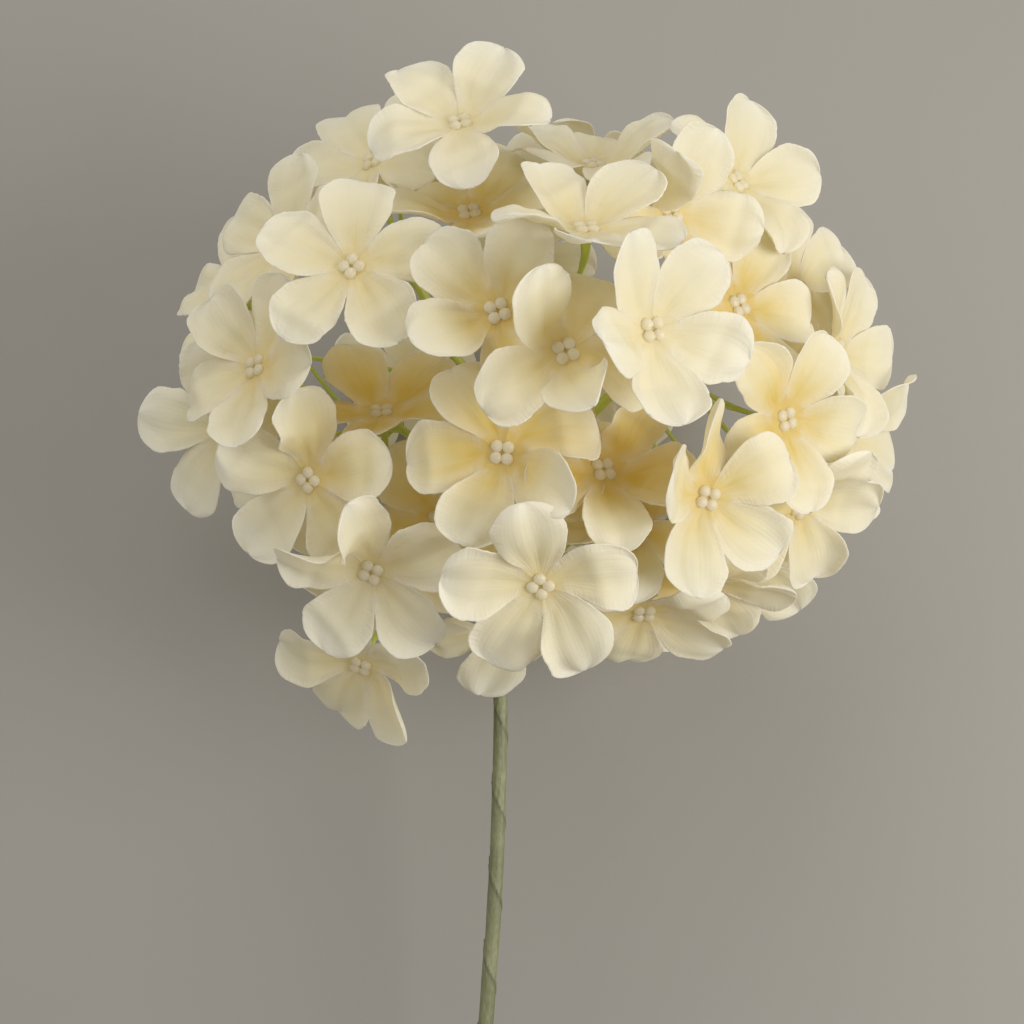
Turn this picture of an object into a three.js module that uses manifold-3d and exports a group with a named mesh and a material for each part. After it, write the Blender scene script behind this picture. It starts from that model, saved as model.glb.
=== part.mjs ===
// Artificial hydrangea stem, laid on a flat surface.
// It is described upright in the flower's own frame: x to the right, y up along the stem, z out of the
// head's best side, with the middle of the head at zero. At the end it is pitched back about x, until
// the cut end of the stem and two blooms of the back rest on the surface.

import * as THREE from 'three';
import Module from 'manifold-3d';

const wasm = await Module();
wasm.setup();

// All lengths are in millimetres and all angles in degrees.

// Bloom: one die-cut sheet with five petals, slit almost to the middle
const petalCount = 5;
const petalStep = 360 / petalCount;
const petalLength = 21.5;
const petalHalfWidth = 7.5;
const widestAt = 0.65;
const slitRadius = 6;
const fabricThickness = 0.7;
const flatRadius = 1.5;
const hingeRadius = 7.5;
const petalCurl = -18;
const petalCup = 0.16;
const uprightFrom = 25;
const uprightSpan = 35;
const flatTwist = 6;
const uprightTwist = 16;
const tipSharpness = 2.2;
const rollFrom = 0.2;
const rollSpan = 0.4;

// Beads pressed on the middle of each bloom
const beadCount = 4;
const beadSpread = 1.5;
const beadHeight = 2.2;
const beadDip = 1.2;
const beadRimShare = 0.45;

// Calyx cup and pedicel under each bloom
const seatGap = 0.3;
const calyxLength = 7.5;
const calyxTopRadius = 1.9;
const calyxWaistRadius = 1.4;
const calyxWaistDepth = 1.8;
const pedicelRadius = 0.55;
const pedicelSides = 5;
const pedicelSteps = 3;
const pedicelLead = 0.4;
const calyxTop = -fabricThickness / 2 - seatGap;

// Arms of the sprays
const armRadius = 1.3;
const armSides = 6;
const armSteps = 3;
const forkRadius = 1.9;

// Stem, wrapped in tape over a wire core
const stemTopY = 5;
const stemEndY = -310;
const stemTopRadius = 1.6;
const stemNeckRadius = 1.8;
const stemEndRadius = 2.3;
const stemNeckY = -70;
const stemSides = 10;
const stemSteps = 11;
const wireRadius = 0.8;
const wireGap = 0.3;
const wireSides = 6;
const wireTopY = 2;
const borePast = 5;

// How the flower lies
const layAngle = 12;

// The blooms that make the head's best side, placed one by one: where the middle sits, which way the
// face turns (to the right, then up), the angle of the first petal, and how far each petal is lifted.
// Some petals have also rolled over on their own midrib, or lean aside in the plane of the bloom.
const crownBlooms = [
  { at: [-11, 55.5, 38], face: [-8, 42], turn: 64, lift: [28, 28, 20, 10, 28] },
  { at: [-32, 51.5, 14], face: [-35, 32], turn: 60, lift: [20, 30, 30, 20, 20] },
  { at: [-9, 36, 34], face: [-5, 46], turn: 60, lift: [30, 35, 40, 35, 30] },
  { at: [19, 49, 22], face: [8, 60], turn: 70, lift: [40, 40, 50, 45, 50] },
  {
    at: [35, 34.5, 46],
    face: [28, 8],
    turn: 62,
    lift: [30, 45, 35, 25, 22],
    roll: [0, 65, 0, 0, 0],
  },
  { at: [52, 45, 24], face: [40, 25], turn: 70, lift: [25, 25, 25, 25, 25] },
  { at: [16, 28.5, 63], face: [2, 60], turn: 54, lift: [46, 46, 40, 26, 40] },
];
const middleBlooms = [
  { at: [-33.5, 21.5, 54], face: [-12, 20], turn: 89, lift: [14, 14, 12, 10, 14] },
  { at: [-51, 30, 26], face: [-40, 20], turn: 85, lift: [20, 20, 20, 20, 20] },
  {
    at: [-2.5, 11.5, 62],
    face: [-4, 6],
    turn: 66,
    lift: [20, 15, 10, 38, -12],
    roll: [0, 0, 0, 45, 0],
  },
  {
    at: [11.5, 2.5, 70],
    face: [0, 2],
    turn: 66,
    lift: [20, 76, 12, 22, 6],
    sway: [6, 0, 0, 26, -4],
  },
  {
    at: [29, 6.5, 74],
    face: [22, 2],
    turn: 56,
    lift: [32, 38, 52, 22, 22],
    sway: [0, -6, -6, 8, 0],
  },
  {
    at: [-1.5, -18, 60],
    face: [-14, 0],
    turn: 38,
    lift: [80, 18, 10, 16, 30],
    sway: [0, 12, 4, -6, -18],
  },
  { at: [11, -17, 42], face: [5, 30], turn: 52, lift: [66, 38, 64, 28, 36] },
  {
    at: [20, -21.5, 51],
    face: [20, 25],
    turn: 50,
    lift: [58, 40, 74, 20, 20],
    roll: [25, 0, 0, 0, 0],
    sway: [8, 0, 0, 0, 0],
  },
  {
    at: [42, -27.5, 55],
    face: [20, -5],
    turn: 30,
    lift: [25, 30, 50, 18, 12],
    roll: [0, 45, 0, 0, 0],
    sway: [4, -14, -20, 16, 8],
  },
];
const leftBlooms = [
  {
    at: [-44, -23.5, 42],
    face: [-26, -5],
    turn: 85,
    lift: [25, 40, 15, 12, 15],
    roll: [65, 0, 0, 0, 0],
  },
  { at: [-65.5, -12, 24], face: [-32, -2], turn: 95, lift: [22, 20, 12, 12, 20] },
  { at: [-64, 20, 14], face: [-50, 25], turn: 100, lift: [20, 25, 20, 20, 30] },
  { at: [-56, 1.5, 34], face: [-38, 15], turn: 60, lift: [30, 30, 20, 20, 25] },
  { at: [-29, -8, 28], face: [-8, 58], turn: 54, lift: [42, 42, 14, 22, 20] },
  { at: [-16, -32.5, 26], face: [-2, -5], turn: 50, lift: [30, 30, 30, 30, 30] },
];
const rightBlooms = [
  { at: [61, -10, 38], face: [35, -5], turn: 65, lift: [35, 70, 30, 18, 25] },
  { at: [77, 7.5, 10], face: [60, 5], turn: 60, lift: [25, 25, 25, 25, 25] },
  { at: [67.5, 21.5, 14], face: [52, 20], turn: 32, lift: [25, 25, 25, 25, 25] },
  { at: [51, 15.5, 34], face: [35, 12], turn: 65, lift: [20, 20, 20, 20, 20] },
  { at: [81.5, -12, 2], face: [58, -8], turn: 50, lift: [25, 25, 25, 25, 25] },
  { at: [66.5, -29.5, 22], face: [38, -30], turn: 15, lift: [12, 35, 30, 20, 20] },
];
const lowerBlooms = [
  { at: [26, -33.5, 42], face: [0, 48], turn: 50, lift: [70, 46, 20, 0, 20] },
  {
    at: [6.5, -46, 58],
    face: [-2, -20],
    turn: 96,
    lift: [20, 30, 36, 30, 14],
    sway: [4, 20, 6, -14, -18],
  },
  {
    at: [-30, -43.5, 46],
    face: [-14, -18],
    turn: 20,
    lift: [18, 45, 38, 12, 12],
    roll: [0, 50, -50, 0, 0],
  },
  { at: [30, -53, 34], face: [5, -50], turn: 46, lift: [40, 24, 15, 12, 15] },
  { at: [44.5, -48, 22], face: [25, -60], turn: 30, lift: [30, 40, 30, 20, 20] },
  { at: [-35, -66.5, 10], face: [-22, -40], turn: 18, lift: [20, 20, 20, 15, 40] },
  { at: [-2.5, -57.5, 14], face: [0, -68], turn: 55, lift: [20, 20, 20, 20, 20] },
  { at: [58.5, -43.5, 7], face: [38, -50], turn: 46, lift: [25, 25, 25, 25, 25] },
];

// The two blooms of the back that the head rests on, and two rings of blooms that fill the back
const restingBlooms = [
  { at: [-28, 4, -63], face: [-158, 0], turn: 90, lift: [15, 15, 15, 15, 15] },
  { at: [28, 4, -63], face: [158, 0], turn: 90, lift: [15, 15, 15, 15, 15] },
];
const backRings = [
  { count: 2, from: 90, polar: 36, lift: 18 },
  { count: 7, from: 22, polar: 70, lift: 24 },
];
const backRadii = [66, 58, 56];
const backJitter = 7;
const seed = 41;

// Sprays: the fork of each one, from which its pedicels fan out
const forks = [
  [-4, 2, 34],
  [-27, -10, 10],
  [-22, 24, 12],
  [30, 2, 14],
  [3, 34, 10],
  [-20, -38, 8],
  [20, -34, 14],
  [-20, 4, -24],
  [20, 4, -24],
];
const forkReach = 90;
const armRise = 0.55;
const armDrop = 6;
const armRootLow = -48;
const armRootHigh = -1;

// Bending the petals and the pedicels clear of each other
const bends = [0, 7, -7, 14, -14, 21, -21, 28, -28, 36, -36, 46, -46, 58, -58];
const sways = [0, 8, -8, 16, -16];
const bulges = [[0, 0], [6, 0], [-6, 0], [0, 6], [0, -6], [11, 0], [-11, 0], [0, 11], [0, -11]];
const wideBulges = [-16, -8, 0, 8, 16].flatMap((x) => [-16, -8, 0, 8, 16].map((y) => [x, y]));
const bendsAndSways = bends.flatMap((bend) => sways.map((sway) => [bend, sway]));
const lowestLift = -28;
const highestLift = 86;
const bendSweeps = 4;
const clearance = 2.6;
const bendCost = 0.004;
const bulgeCost = 0.02;
const sinks = [0, 1.5, -1.5, 3, -3, 5, -5, 7, -7];
const sinkCost = 0.3;
const crowdPower = 3;
const freeGap = 0.3;
const touchCost = 0.5;
const crossingCost = 1;
const clashSweeps = 6;
const stiffDepth = 12;
const reach = 46;
const nearRadius = 24;
const hubSampleRadius = 4;
const floorClearance = 1.5;

const cream = { color: 0xefe3c4, roughness: 0.85, metalness: 0 };
const leafGreen = { color: 0xa9b25a, roughness: 0.45, metalness: 0 };
const tapeGreen = { color: 0x868a5c, roughness: 0.75, metalness: 0 };
const steel = { color: 0x8d8f92, roughness: 0.4, metalness: 1 };

const radians = THREE.MathUtils.degToRad;
const up = new THREE.Vector3(0, 1, 0);

// A small seeded generator, so that every build is the same
function makeRandom(start) {
  let state = start >>> 0;
  return () => {
    state = (Math.imul(state, 1664525) + 1013904223) >>> 0;
    return state / 4294967296;
  };
}

// Along an arc whose heading turns evenly from one angle to another: [out, up]
function arcStep(length, startAngle, endAngle) {
  const change = endAngle - startAngle;
  if (Math.abs(change) < 1e-6) {
    return [length * Math.cos(startAngle), length * Math.sin(startAngle)];
  }
  return [
    length * (Math.sin(endAngle) - Math.sin(startAngle)) / change,
    length * (Math.cos(startAngle) - Math.cos(endAngle)) / change,
  ];
}

// The petal's midrib: flat at the middle, hinged up to its lift, then curled back to the tip
function midrib(distance, lift) {
  const liftAngle = radians(lift);
  if (distance <= flatRadius) {
    return { out: distance, up: 0, angle: 0 };
  }
  const hingeShare = Math.min((distance - flatRadius) / (hingeRadius - flatRadius), 1);
  const hingeLength = hingeShare * (hingeRadius - flatRadius);
  const hinge = arcStep(hingeLength, 0, liftAngle * hingeShare);
  if (hingeShare < 1) {
    return { out: flatRadius + hinge[0], up: hinge[1], angle: liftAngle * hingeShare };
  }
  const bladeShare = (distance - hingeRadius) / (petalLength - hingeRadius);
  const angle = liftAngle + radians(petalCurl) * bladeShare;
  const blade = arcStep(distance - hingeRadius, liftAngle, angle);
  return { out: flatRadius + hinge[0] + blade[0], up: hinge[1] + blade[1], angle };
}

// Half the petal's width at a share of its length
const slitShare = slitRadius * Math.cos(radians(petalStep / 2)) / petalLength;
const slitHalf = slitRadius * Math.sin(radians(petalStep / 2));

function halfWidth(share) {
  if (share < widestAt) {
    const grown = Math.max((share - slitShare) / (widestAt - slitShare), 0);
    return slitHalf + (petalHalfWidth - slitHalf) * Math.sin(grown * Math.PI / 2);
  }
  const past = Math.min((share - widestAt) / (1 - widestAt), 1);
  return petalHalfWidth * (1 - past ** tipSharpness) ** (1 / tipSharpness);
}

// A point of a petal's middle surface in the bloom's frame, z out of the face. A pose is a petal's
// lift, its roll over the midrib and its sideways sway, all in degrees. share runs from the bloom's
// middle to the tip, and side from one edge (-1) to the other (1).
function petalPoint(angle, pose, share, side) {
  const rib = midrib(share * petalLength, pose.lift);
  const half = halfWidth(share);
  const upright = Math.min(Math.max((pose.lift - uprightFrom) / uprightSpan, 0), 1);
  const rolled = pose.roll * THREE.MathUtils.smoothstep(share, rollFrom, rollFrom + rollSpan);
  const twist = radians((flatTwist + uprightTwist * upright) * share + rolled);
  const across = half * side;
  const rise = petalCup * half * side * side;
  const sideways = across * Math.cos(twist) - rise * Math.sin(twist);
  const outwards = across * Math.sin(twist) + rise * Math.cos(twist);
  const radial = rib.out - outwards * Math.sin(rib.angle);
  const height = rib.up + outwards * Math.cos(rib.angle);
  const swayed = pose.sway * (share - slitShare) / (1 - slitShare);
  const a = radians(angle + swayed);
  return new THREE.Vector3(
    radial * Math.cos(a) - sideways * Math.sin(a),
    radial * Math.sin(a) + sideways * Math.cos(a),
    height,
  );
}

// The matrix that sets a bloom in the flower: z along its face, x level
function bloomMatrix(bloom) {
  const yaw = radians(bloom.face[0]);
  const pitch = radians(bloom.face[1]);
  const normal = new THREE.Vector3(
    Math.sin(yaw) * Math.cos(pitch),
    Math.sin(pitch),
    Math.cos(yaw) * Math.cos(pitch),
  );
  const level = new THREE.Vector3().crossVectors(up, normal).normalize();
  const third = new THREE.Vector3().crossVectors(normal, level);
  return new THREE.Matrix4().makeBasis(level, third, normal).setPosition(bloom.middle);
}

// Blooms of the back: rings round the back pole of the head, each nudged a little
function makeBackBlooms() {
  const random = makeRandom(seed);
  const nudge = () => (random() * 2 - 1) * backJitter;
  const blooms = [];
  for (const ring of backRings) {
    for (let i = 0; i < ring.count; i += 1) {
      const around = radians(ring.from + i * 360 / ring.count + nudge());
      const polar = radians(ring.polar + nudge() / 2);
      const direction = [
        Math.sin(polar) * Math.cos(around),
        Math.sin(polar) * Math.sin(around),
        -Math.cos(polar),
      ];
      const yaw = THREE.MathUtils.radToDeg(Math.atan2(direction[0], direction[2]));
      const pitch = THREE.MathUtils.radToDeg(Math.asin(direction[1]));
      blooms.push({
        at: direction.map((part, axis) => part * backRadii[axis]),
        face: [yaw + nudge(), pitch + nudge()],
        turn: random() * petalStep,
        lift: Array.from({ length: petalCount }, () => ring.lift + nudge()),
      });
    }
  }
  return blooms;
}

// A closed body from rings of points: each ring joined to the next, the first and last capped
function bodyFromRings(rings) {
  const sides = rings[0].length;
  const positions = rings.flat().flatMap((point) => [point.x, point.y, point.z]);
  const faces = [];
  for (let r = 0; r + 1 < rings.length; r += 1) {
    for (let i = 0; i < sides; i += 1) {
      const a = r * sides + i;
      const b = r * sides + (i + 1) % sides;
      faces.push(a, b, b + sides, a, b + sides, a + sides);
    }
  }
  const last = (rings.length - 1) * sides;
  for (let i = 1; i + 1 < sides; i += 1) {
    faces.push(0, i + 1, i, last, last + i, last + i + 1);
  }
  return meshGeometry(positions, faces);
}

function meshGeometry(positions, faces) {
  const geometry = new THREE.BufferGeometry();
  geometry.setAttribute('position', new THREE.Float32BufferAttribute(positions, 3));
  geometry.setIndex(faces);
  return geometry;
}

// A round body through stations, each with its middle, its heading and its radius
function roundBody(stations, sides) {
  const aside = Math.abs(stations[0].along.y) < 0.9 ? up.clone() : new THREE.Vector3(1, 0, 0);
  const rings = stations.map(({ middle, along, radius }) => {
    aside.addScaledVector(along, -aside.dot(along)).normalize();
    const second = new THREE.Vector3().crossVectors(along, aside);
    return Array.from({ length: sides }, (unused, i) => {
      const a = 2 * Math.PI * i / sides;
      return middle.clone()
        .addScaledVector(aside, radius * Math.cos(a))
        .addScaledVector(second, radius * Math.sin(a));
    });
  });
  return bodyFromRings(rings);
}

function stationsAlong(curve, steps, radiusAt) {
  return Array.from({ length: steps + 1 }, (unused, i) => ({
    middle: curve.getPoint(i / steps),
    along: curve.getTangent(i / steps),
    radius: radiusAt(i / steps),
  }));
}

function toSolid(geometry) {
  const vertProperties = new Float32Array(geometry.getAttribute('position').array);
  const triVerts = new Uint32Array(geometry.getIndex().array);
  const mesh = new wasm.Mesh({ numProp: 3, vertProperties, triVerts });
  mesh.merge();
  return new wasm.Manifold(mesh);
}

function toGeometry(solid) {
  const mesh = solid.getMesh();
  return meshGeometry([...mesh.vertProperties], [...mesh.triVerts]);
}

function joinAll(geometries) {
  return geometries.map(toSolid).reduce((joined, solid) => joined.add(solid));
}

// The stem's middle line: straight in the head, then a gentle bend to the left on the way down
const stemCurve = new THREE.CatmullRomCurve3([
  new THREE.Vector3(-2, stemTopY, 0),
  new THREE.Vector3(-2, -50, 0),
  new THREE.Vector3(-3, -110, 0),
  new THREE.Vector3(-6, -155, 0),
  new THREE.Vector3(-10, -200, 0),
  new THREE.Vector3(-16, -255, 0),
  new THREE.Vector3(-23, stemEndY, 0),
], false, 'centripetal');

function stemRadius(y) {
  const { mapLinear } = THREE.MathUtils;
  return y > stemNeckY
    ? mapLinear(y, stemTopY, stemNeckY, stemTopRadius, stemNeckRadius)
    : mapLinear(y, stemNeckY, stemEndY, stemNeckRadius, stemEndRadius);
}

function stemOutside() {
  const stations = stationsAlong(stemCurve, stemSteps, () => 0);
  stations.forEach((station) => {
    station.radius = stemRadius(station.middle.y);
  });
  return roundBody(stations, stemSides);
}

// The core's stations: from a little below the stem's top to its cut end, and past it for the bore
function coreStations(radius, topY, past) {
  const stations = stationsAlong(stemCurve, stemSteps, () => radius);
  stations[0].middle.y = topY;
  if (past > 0) {
    const end = stations[stemSteps];
    stations.push({ ...end, middle: end.middle.clone().addScaledVector(end.along, past) });
  }
  return stations;
}

function makeStem() {
  const bore = roundBody(coreStations(wireRadius + wireGap, wireTopY + wireGap, borePast), wireSides);
  const solid = toSolid(stemOutside()).subtract(toSolid(bore));
  return makeMesh('stem', toGeometry(solid), tapeGreen);
}

function makeWire() {
  return makeMesh('stem_wire', roundBody(coreStations(wireRadius, wireTopY, 0), wireSides), steel);
}

// Heights over the surface that the flower lies on, which the cut end of the stem touches
const floorUp = new THREE.Vector3(0, Math.sin(radians(layAngle)), Math.cos(radians(layAngle)));

function lowestOf(geometry) {
  const point = new THREE.Vector3();
  const positions = geometry.getAttribute('position');
  let lowest = Infinity;
  for (let i = 0; i < positions.count; i += 1) {
    lowest = Math.min(lowest, point.fromBufferAttribute(positions, i).dot(floorUp));
  }
  return lowest;
}

const floorLevel = lowestOf(stemOutside());

// The bloom's sheet, seen from its face: a fan round the middle, then each petal's rows to its tip.
// The middle and the slit points are shared by the petals, so the sheet is one closed body.
const rowShares = [0.5, 0.75, 0.92];

function bloomSheet(bloom, thickness = fabricThickness) {
  const middle = [new THREE.Vector3()];
  const blades = [];
  const outline = [];
  const add = (point) => middle.push(point) - 1;
  const angleOf = (index) => bloom.turn + petalStep * index;
  const slits = bloom.poses.map((pose, index) => {
    const before = bloom.poses[(index + petalCount - 1) % petalCount];
    const own = petalPoint(angleOf(index), pose, slitShare, -1);
    const other = petalPoint(angleOf(index - 1), before, slitShare, 1);
    return add(own.add(other).multiplyScalar(0.5));
  });
  const ring = [];
  bloom.poses.forEach((pose, index) => {
    const base = add(petalPoint(angleOf(index), pose, slitShare, 0));
    let row = [slits[index], base, slits[(index + 1) % petalCount]];
    ring.push(row[0], base);
    const rows = [row];
    for (const share of rowShares) {
      const next = [-1, 0, 1].map((side) => add(petalPoint(angleOf(index), pose, share, side)));
      blades.push([row[0], next[0], next[1]], [row[0], next[1], row[1]]);
      blades.push([row[1], next[1], next[2]], [row[1], next[2], row[2]]);
      rows.push(next);
      row = next;
    }
    const tip = add(petalPoint(angleOf(index), pose, 1, 0));
    blades.push([row[0], tip, row[1]], [row[1], tip, row[2]]);
    outline.push(...rows.map((r) => r[0]), tip, ...rows.slice(1).reverse().map((r) => r[2]));
  });
  return thicken(middle, blades, ring, outline, bloom.turn, thickness);
}

// Gives the sheet its thickness. The blades are split alike on both faces, and a wall runs round the
// outline. The middle is a plain fan below, and carries the beads above.
function thicken(middle, blades, ring, outline, turn, thickness) {
  const fan = ring.map((point, i) => [0, point, ring[(i + 1) % ring.length]]);
  const normals = middle.map(() => new THREE.Vector3());
  for (const corners of [...blades, ...fan]) {
    const [a, b, c] = corners.map((corner) => middle[corner]);
    const normal = new THREE.Vector3().crossVectors(b.clone().sub(a), c.clone().sub(a));
    corners.forEach((corner) => normals[corner].add(normal));
  }
  const half = thickness / 2;
  normals.forEach((normal) => normal.normalize());
  const upper = middle.map((point, i) => point.clone().addScaledVector(normals[i], half));
  const lower = middle.map((point, i) => point.clone().addScaledVector(normals[i], -half));
  const count = middle.length;
  const beads = beadRelief(upper, ring, turn, 2 * count);
  const positions = [...upper, ...lower, ...beads.points].flatMap((p) => [p.x, p.y, p.z]);
  const faces = blades.flat();
  for (const [a, b, c] of [...blades, ...fan]) {
    faces.push(a + count, c + count, b + count);
  }
  outline.forEach((a, i) => {
    const b = outline[(i + 1) % outline.length];
    faces.push(a, a + count, b + count, a, b + count, b);
  });
  faces.push(...beads.faces.flat());
  return meshGeometry(positions, faces);
}

// Four beads in a clover on the middle of the sheet: a rim, a peak for each bead and a dip between
function beadRelief(upper, ring, turn, firstIndex) {
  const rim = ring.map((point) => upper[0].clone().lerp(upper[point], beadRimShare));
  const beadStep = 360 / beadCount;
  const peaks = Array.from({ length: beadCount }, (unused, i) => {
    const a = radians(turn + i * beadStep);
    return new THREE.Vector3(beadSpread * Math.cos(a), beadSpread * Math.sin(a), beadHeight);
  });
  const points = [...rim, ...peaks, new THREE.Vector3(0, 0, beadDip)];
  const rimAt = (i) => firstIndex + i % ring.length;
  const peakAt = (i) => firstIndex + ring.length + i % beadCount;
  const dip = firstIndex + ring.length + beadCount;
  const beadOf = (i) => Math.floor((i % ring.length - 0.5) * petalStep / 2 / beadStep + 0.5);
  const faces = [];
  ring.forEach((point, i) => {
    faces.push([rimAt(i), point, ring[(i + 1) % ring.length]]);
    faces.push([rimAt(i), ring[(i + 1) % ring.length], rimAt(i + 1)]);
    faces.push([peakAt(beadOf(i)), rimAt(i), rimAt(i + 1)]);
    if (beadOf(i) !== beadOf(i + 1)) {
      faces.push([peakAt(beadOf(i)), rimAt(i + 1), peakAt(beadOf(i + 1))]);
    }
  });
  peaks.forEach((unused, i) => faces.push([dip, peakAt(i), peakAt(i + 1)]));
  return { points, faces };
}

function makeMesh(name, geometry, finish) {
  const mesh = new THREE.Mesh(geometry, new THREE.MeshStandardMaterial(finish));
  mesh.name = name;
  return mesh;
}

function makeBloom(bloom) {
  return makeMesh(bloom.name, bloomSheet(bloom).applyMatrix4(bloom.matrix), cream);
}

function startPoses(bloom) {
  return bloom.lift.map((lift, index) => (
    { lift, roll: bloom.roll?.[index] ?? 0, sway: bloom.sway?.[index] ?? 0 }));
}

// Moves a resting bloom straight up or down, until its lowest petal touches the surface
function seatOnFloor(bloom) {
  const middle = new THREE.Vector3(...bloom.at);
  const geometry = bloomSheet({ ...bloom, poses: startPoses(bloom) });
  geometry.applyMatrix4(bloomMatrix({ ...bloom, middle }));
  const rise = floorUp.clone().multiplyScalar(floorLevel - lowestOf(geometry));
  return { ...bloom, at: rise.add(middle).toArray(), resting: true };
}

// Where a pedicel runs: from under its calyx back to the fork of its spray, bulged to one side
function pedicelCurve(bloom, bulge) {
  const start = new THREE.Vector3(0, 0, calyxTop - calyxLength).applyMatrix4(bloom.matrix);
  const end = new THREE.Vector3(...forks[bloom.fork]);
  const span = start.distanceTo(end) * pedicelLead;
  const lead = new THREE.Vector3(...bulge, calyxTop - calyxLength - span).applyMatrix4(bloom.matrix);
  return new THREE.CubicBezierCurve3(
    start,
    lead,
    end.clone().setLength(end.length() + span),
    end,
  );
}

// The fork that lies best behind a bloom, with a preference for near ones
function forkBehind(bloom) {
  const middle = new THREE.Vector3(...bloom.at);
  const back = new THREE.Vector3(0, 0, -1).transformDirection(bloomMatrix({ ...bloom, middle }));
  const scores = forks.map((fork) => {
    const way = new THREE.Vector3(...fork).sub(middle);
    return way.dot(back) / way.length() - way.length() / forkReach;
  });
  return scores.indexOf(Math.max(...scores));
}

// An arm leaves the stem at its own height, and rises to its fork
function armCurve(fork) {
  const end = new THREE.Vector3(...fork);
  const outward = new THREE.Vector3(end.x, 0, end.z);
  const wanted = end.y - armRise * outward.length() - armDrop;
  const rootY = THREE.MathUtils.clamp(wanted, armRootLow, armRootHigh);
  outward.normalize();
  const start = stemCurve.getPoint(0).setY(rootY);
  start.addScaledVector(outward, stemRadius(rootY) + seatGap);
  const bulge = start.distanceTo(end) * 0.4;
  return new THREE.CubicBezierCurve3(
    start,
    start.clone().addScaledVector(outward, bulge),
    end.clone().setLength(end.length() - bulge * 0.6),
    end,
  );
}

// Calyx and pedicel in one: a flared cup under the bloom that narrows to the stalk
function pedicelBody(bloom) {
  const along = new THREE.Vector3(0, 0, -1).transformDirection(bloom.matrix);
  const cup = [[0, calyxTopRadius], [calyxWaistDepth, calyxWaistRadius]].map(([depth, radius]) => ({
    middle: new THREE.Vector3(0, 0, calyxTop - depth).applyMatrix4(bloom.matrix),
    along,
    radius,
  }));
  const stalk = stationsAlong(bloom.pedicel, pedicelSteps, () => pedicelRadius);
  return roundBody([...cup, ...stalk], pedicelSides);
}

function forkKnot(fork) {
  const knot = new THREE.OctahedronGeometry(forkRadius, 1);
  const positions = [...knot.getAttribute('position').array];
  return meshGeometry(positions, [...Array(positions.length / 3).keys()]).translate(...fork);
}

function spraySolid(fork, index) {
  const arm = roundBody(stationsAlong(armCurve(fork), armSteps, () => armRadius), armSides);
  const own = blooms.filter((bloom) => bloom.fork === index);
  return joinAll([arm, forkKnot(fork), ...own.map(pedicelBody)]);
}

function makeSpray(fork, index) {
  return makeMesh(`spray_${index + 1}`, toGeometry(spraySolid(fork, index)), leafGreen);
}

// Points that stand for a petal, for a bloom's middle with its stalk, and for the stem and arms,
// when clearances are measured
const sampleShares = [0.36, 0.5, 0.62, 0.75, 0.84, 0.92, 0.98];
const sampleSides = [-1, -0.66, -0.33, 0, 0.33, 0.66, 1];
const sampleStep = 2;
const stalkSkip = 2;
const petalCenter = 17;
const besideFrom = 2 * sampleSides.length;

function petalSamples(bloom, index, pose) {
  const points = [];
  for (const share of sampleShares) {
    for (const side of sampleSides) {
      const point = petalPoint(bloom.turn + petalStep * index, pose, share, side);
      points.push(point.applyMatrix4(bloom.matrix));
    }
  }
  return points;
}

function curveSamples(curve) {
  const count = Math.ceil(curve.getLength() / sampleStep);
  return Array.from({ length: count + 1 }, (unused, i) => curve.getPoint(i / count));
}

function middleSamples(bloom) {
  return [...curveSamples(bloom.pedicel), ...bloom.hubPoints];
}

function hubSamples(bloom) {
  const points = [];
  for (let height = -calyxLength; height <= beadHeight; height += sampleStep) {
    points.push(new THREE.Vector3(0, 0, height).applyMatrix4(bloom.matrix));
  }
  for (let i = 0; i < 2 * petalCount; i += 1) {
    const a = radians(i * petalStep / 2);
    const ringPoint = new THREE.Vector3(Math.cos(a), Math.sin(a), 0).multiplyScalar(hubSampleRadius);
    points.push(ringPoint.applyMatrix4(bloom.matrix));
  }
  return points;
}

function stemSamples() {
  const points = forks.flatMap((fork) => curveSamples(armCurve(fork)));
  for (let y = stemTopY; y > stemNeckY - petalLength; y -= sampleStep) {
    for (let i = 0; i < stemSides; i += 1) {
      const a = 2 * Math.PI * i / stemSides;
      const middle = stemCurve.getPoint(0);
      const radius = stemRadius(y);
      points.push(new THREE.Vector3(middle.x + radius * Math.cos(a), y, radius * Math.sin(a)));
    }
  }
  return points;
}

function crowding(points, obstacles) {
  let total = 0;
  for (const point of points) {
    let nearest = clearance * clearance;
    for (const other of obstacles) {
      nearest = Math.min(nearest, point.distanceToSquared(other));
    }
    total += (clearance - Math.sqrt(nearest)) ** crowdPower;
    total += Math.max(floorClearance + floorLevel - point.dot(floorUp), 0) ** 2;
  }
  return total;
}

// Blooms of the best side keep to their places more than those behind them
function firmness(bloom) {
  return 1 + Math.max(bloom.at[2], 0) / stiffDepth;
}

// Sets the bloom deeper or shallower in the head than it was placed, where it is clearest
function settleDepth(bloom, obstacles) {
  let best = Infinity;
  for (const sink of sinks) {
    const moved = new THREE.Vector3(0, 0, bloom.at[2] + sink - bloom.middle.z);
    const points = [...bloom.petalPoints.flat(), ...bloom.hubPoints].map((p) => p.clone().add(moved));
    const cost = crowding(points, obstacles) + sinkCost * firmness(bloom) * sink ** 2;
    if (cost < best) {
      best = cost;
      bloom.sink = sink;
    }
  }
  placeBloom(bloom);
}

function placeBloom(bloom) {
  bloom.middle = new THREE.Vector3(bloom.at[0], bloom.at[1], bloom.at[2] + bloom.sink);
  bloom.matrix = bloomMatrix(bloom);
  bloom.petalPoints = bloom.poses.map((pose, index) => petalSamples(bloom, index, pose));
  bloom.hubPoints = hubSamples(bloom);
}

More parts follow.
